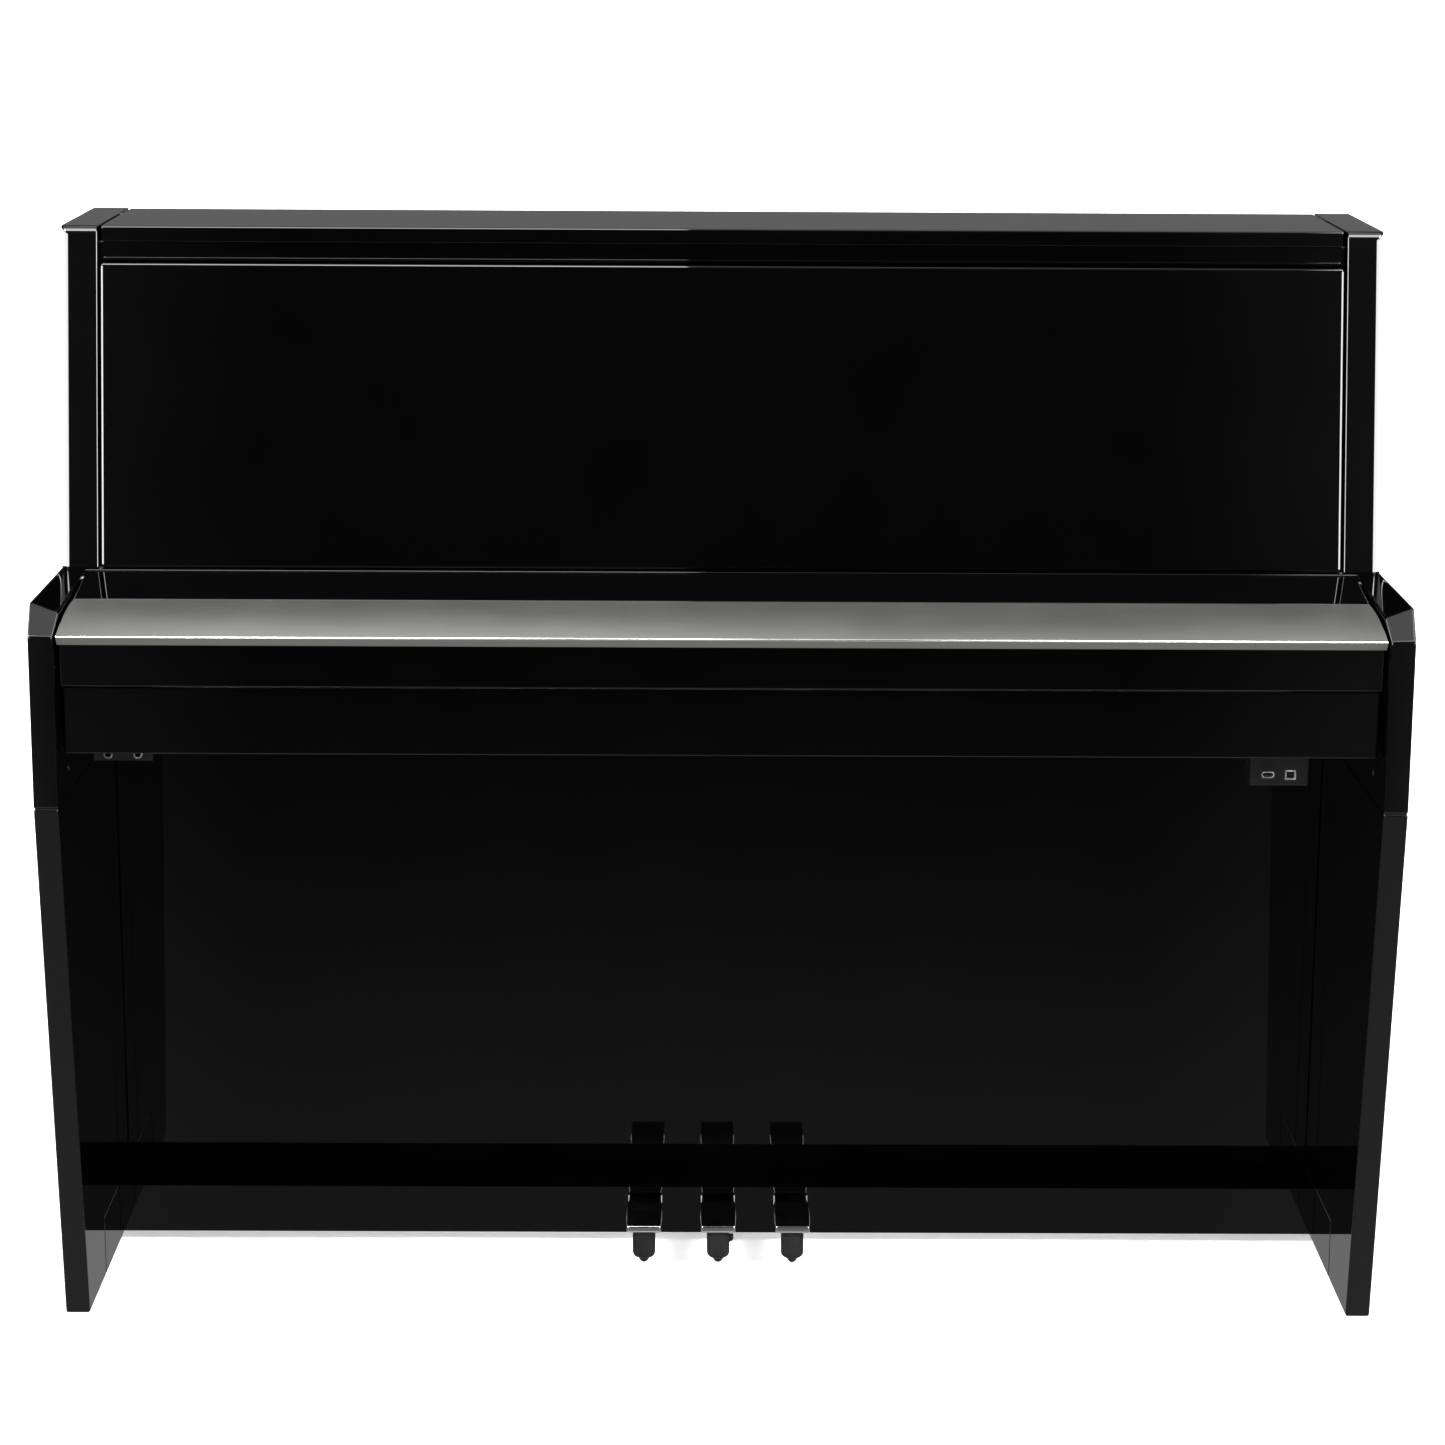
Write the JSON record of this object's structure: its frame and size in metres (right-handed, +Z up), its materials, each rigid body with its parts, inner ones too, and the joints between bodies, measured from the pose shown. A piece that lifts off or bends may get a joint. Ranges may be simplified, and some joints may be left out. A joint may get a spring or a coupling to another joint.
{
  "type": "upright piano",
  "caption": "Digital upright piano in a gloss black cabinet with a hinged fallboard, hinged top lid, full-size sprung keyboard and three foot pedals.",
  "frame": {"origin": "on the floor, under the middle of the cabinet, half way between the front of the arms and the back edges of the sides", "axes": "+X to the player's right, along the keyboard; +Y to the back, the player sits on the -Y side; +Z up"},
  "size_m": [1.47, 0.52, 1.2],
  "materials": {
    "black_gloss": "high-gloss black polyester lacquer on board",
    "black_board": "matt black painted board",
    "black_satin": "satin black lacquer",
    "satin_aluminium": "satin anodised, brushed along its length",
    "dark_aluminium": "dark anodised",
    "chrome_pedal": "polished chrome plate",
    "stopper_rubber": "matt black rubber",
    "white_key": "smooth ivory-white plastic",
    "black_key": "matt black plastic",
    "red_felt": "pressed wool felt",
    "steel": "zinc-plated steel",
    "black_steel": "blackened steel",
    "black_plastic": "fine-grained moulded plastic",
    "speaker_black": "pressed basket and paper cone",
    "green_board": "glass-epoxy circuit board"
  },
  "bodies": {
    "cabinet": {"left_leg": "black_gloss", "right_leg": "black_gloss", "left_lower_side": "black_gloss", "right_lower_side": "black_gloss", "left_arm": "black_gloss", "right_arm": "black_gloss", "left_upper_side": "black_gloss", "right_upper_side": "black_gloss", "deck": "black_gloss", "upper_front_panel": "black_gloss", "top_rail": "black_gloss", "key_bed": "black_board", "key_slip": "black_gloss", "bottom_board": "black_gloss", "knee_panel": "black_gloss", "back_panel": "black_board", "back_panel_screws": "black_steel", "speakers": "speaker_black", "lid_pivot_pins": "steel", "key_frame": "steel", "key_felts": "red_felt", "key_blocks": "black_gloss", "name_board": "black_satin", "pedal_board": "black_gloss", "pedal_bracket": "steel", "pedal_axle": "steel", "pedal_springs": "steel", "adjuster_foot": "black_plastic", "usb_box": "black_plastic", "headphone_box": "black_plastic", "mains_inlet": "black_plastic", "circuit_board": "green_board", "power_supply": "steel"},
    "fallboard": {"fallboard": "black_gloss", "fallboard_trim": "satin_aluminium"},
    "top_lid": {"top_lid": "black_gloss"},
    "key_c": {"key_c": "white_key"},
    "key_c_sharp": {"key_c_sharp": "black_key"},
    "key_d": {"key_d": "white_key"},
    "key_d_sharp": {"key_d_sharp": "black_key"},
    "key_e": {"key_e": "white_key"},
    "key_f": {"key_f": "white_key"},
    "key_f_sharp": {"key_f_sharp": "black_key"},
    "key_g": {"key_g": "white_key"},
    "key_g_sharp": {"key_g_sharp": "black_key"},
    "key_a": {"key_a": "white_key"},
    "key_a_sharp": {"key_a_sharp": "black_key"},
    "key_b": {"key_b": "white_key"},
    "bass_white_keys": {"bass_white_keys": "white_key"},
    "bass_black_keys": {"bass_black_keys": "black_key"},
    "treble_white_keys": {"treble_white_keys": "white_key"},
    "treble_black_keys": {"treble_black_keys": "black_key"},
    "soft_pedal": {"soft_pedal": "chrome_pedal", "soft_pedal_stopper": "stopper_rubber"},
    "sostenuto_pedal": {"sostenuto_pedal": "chrome_pedal", "sostenuto_pedal_stopper": "stopper_rubber"},
    "damper_pedal": {"damper_pedal": "chrome_pedal", "damper_pedal_stopper": "stopper_rubber"},
    "power_button": {"power_button": "black_plastic"},
    "volume_knob": {"volume_knob": "dark_aluminium"}
  },
  "joints": [
    {"name": "fallboard_hinge", "type": "hinge", "parent": "cabinet", "child": "fallboard", "pos_m": [0, -0.052, 0.8165], "axis": [-1, 0, 0], "range_deg": [0, 104]},
    {"name": "top_lid_hinge", "type": "hinge", "parent": "cabinet", "child": "top_lid", "pos_m": [0, 0.2495, 1.1915], "axis": [-1, 0, 0], "range_deg": [0, 95]},
    {"name": "key_c_press", "type": "hinge", "parent": "cabinet", "child": "key_c", "pos_m": [0, 0.015, 0.7207], "axis": [1, 0, 0], "range_deg": [0, 2.5], "stiffness_Nm_per_rad": 1, "springref_deg": -10.31},
    {"name": "key_c_sharp_press", "type": "hinge", "parent": "cabinet", "child": "key_c_sharp", "pos_m": [0, 0.015, 0.7207], "axis": [1, 0, 0], "range_deg": [0, 2.5], "stiffness_Nm_per_rad": 1, "springref_deg": -5.73},
    {"name": "key_d_press", "type": "hinge", "parent": "cabinet", "child": "key_d", "pos_m": [0, 0.015, 0.7207], "axis": [1, 0, 0], "range_deg": [0, 2.5], "stiffness_Nm_per_rad": 1, "springref_deg": -10.31},
    {"name": "key_d_sharp_press", "type": "hinge", "parent": "cabinet", "child": "key_d_sharp", "pos_m": [0, 0.015, 0.7207], "axis": [1, 0, 0], "range_deg": [0, 2.5], "stiffness_Nm_per_rad": 1, "springref_deg": -5.73},
    {"name": "key_e_press", "type": "hinge", "parent": "cabinet", "child": "key_e", "pos_m": [0, 0.015, 0.7207], "axis": [1, 0, 0], "range_deg": [0, 2.5], "stiffness_Nm_per_rad": 1, "springref_deg": -10.31},
    {"name": "key_f_press", "type": "hinge", "parent": "cabinet", "child": "key_f", "pos_m": [0, 0.015, 0.7207], "axis": [1, 0, 0], "range_deg": [0, 2.5], "stiffness_Nm_per_rad": 1, "springref_deg": -10.31},
    {"name": "key_f_sharp_press", "type": "hinge", "parent": "cabinet", "child": "key_f_sharp", "pos_m": [0, 0.015, 0.7207], "axis": [1, 0, 0], "range_deg": [0, 2.5], "stiffness_Nm_per_rad": 1, "springref_deg": -5.73},
    {"name": "key_g_press", "type": "hinge", "parent": "cabinet", "child": "key_g", "pos_m": [0, 0.015, 0.7207], "axis": [1, 0, 0], "range_deg": [0, 2.5], "stiffness_Nm_per_rad": 1, "springref_deg": -10.31},
    {"name": "key_g_sharp_press", "type": "hinge", "parent": "cabinet", "child": "key_g_sharp", "pos_m": [0, 0.015, 0.7207], "axis": [1, 0, 0], "range_deg": [0, 2.5], "stiffness_Nm_per_rad": 1, "springref_deg": -5.73},
    {"name": "key_a_press", "type": "hinge", "parent": "cabinet", "child": "key_a", "pos_m": [0, 0.015, 0.7207], "axis": [1, 0, 0], "range_deg": [0, 2.5], "stiffness_Nm_per_rad": 1, "springref_deg": -10.31},
    {"name": "key_a_sharp_press", "type": "hinge", "parent": "cabinet", "child": "key_a_sharp", "pos_m": [0, 0.015, 0.7207], "axis": [1, 0, 0], "range_deg": [0, 2.5], "stiffness_Nm_per_rad": 1, "springref_deg": -5.73},
    {"name": "key_b_press", "type": "hinge", "parent": "cabinet", "child": "key_b", "pos_m": [0, 0.015, 0.7207], "axis": [1, 0, 0], "range_deg": [0, 2.5], "stiffness_Nm_per_rad": 1, "springref_deg": -10.31},
    {"name": "bass_white_keys_press", "type": "hinge", "parent": "cabinet", "child": "bass_white_keys", "pos_m": [0, 0.015, 0.7207], "axis": [1, 0, 0], "range_deg": [0, 2.5], "stiffness_Nm_per_rad": 23, "springref_deg": -10.31},
    {"name": "bass_black_keys_press", "type": "hinge", "parent": "cabinet", "child": "bass_black_keys", "pos_m": [0, 0.015, 0.7207], "axis": [1, 0, 0], "range_deg": [0, 2.5], "stiffness_Nm_per_rad": 16, "springref_deg": -5.73},
    {"name": "treble_white_keys_press", "type": "hinge", "parent": "cabinet", "child": "treble_white_keys", "pos_m": [0, 0.015, 0.7207], "axis": [1, 0, 0], "range_deg": [0, 2.5], "stiffness_Nm_per_rad": 22, "springref_deg": -10.31},
    {"name": "treble_black_keys_press", "type": "hinge", "parent": "cabinet", "child": "treble_black_keys", "pos_m": [0, 0.015, 0.7207], "axis": [1, 0, 0], "range_deg": [0, 2.5], "stiffness_Nm_per_rad": 15, "springref_deg": -5.73},
    {"name": "soft_pedal_press", "type": "hinge", "parent": "cabinet", "child": "soft_pedal", "pos_m": [0, 0.2, 0.042], "axis": [1, 0, 0], "range_deg": [0, 2.4], "stiffness_Nm_per_rad": 12, "springref_deg": -11.46},
    {"name": "sostenuto_pedal_press", "type": "hinge", "parent": "cabinet", "child": "sostenuto_pedal", "pos_m": [0, 0.2, 0.042], "axis": [1, 0, 0], "range_deg": [0, 2.4], "stiffness_Nm_per_rad": 12, "springref_deg": -11.46},
    {"name": "damper_pedal_press", "type": "hinge", "parent": "cabinet", "child": "damper_pedal", "pos_m": [0, 0.2, 0.042], "axis": [1, 0, 0], "range_deg": [0, 2.4], "stiffness_Nm_per_rad": 12, "springref_deg": -11.46},
    {"name": "power_button_press", "type": "slide", "parent": "cabinet", "child": "power_button", "axis": [0, 0, -1], "range_m": [0, 0.0016], "stiffness_N_per_m": 60, "springref_m": -0.001},
    {"name": "volume_knob_turn", "type": "hinge", "parent": "cabinet", "child": "volume_knob", "pos_m": [-0.6612, -0.152, 0.75], "axis": [0, 0, 1], "range_deg": [-140, 140]}
  ]
}
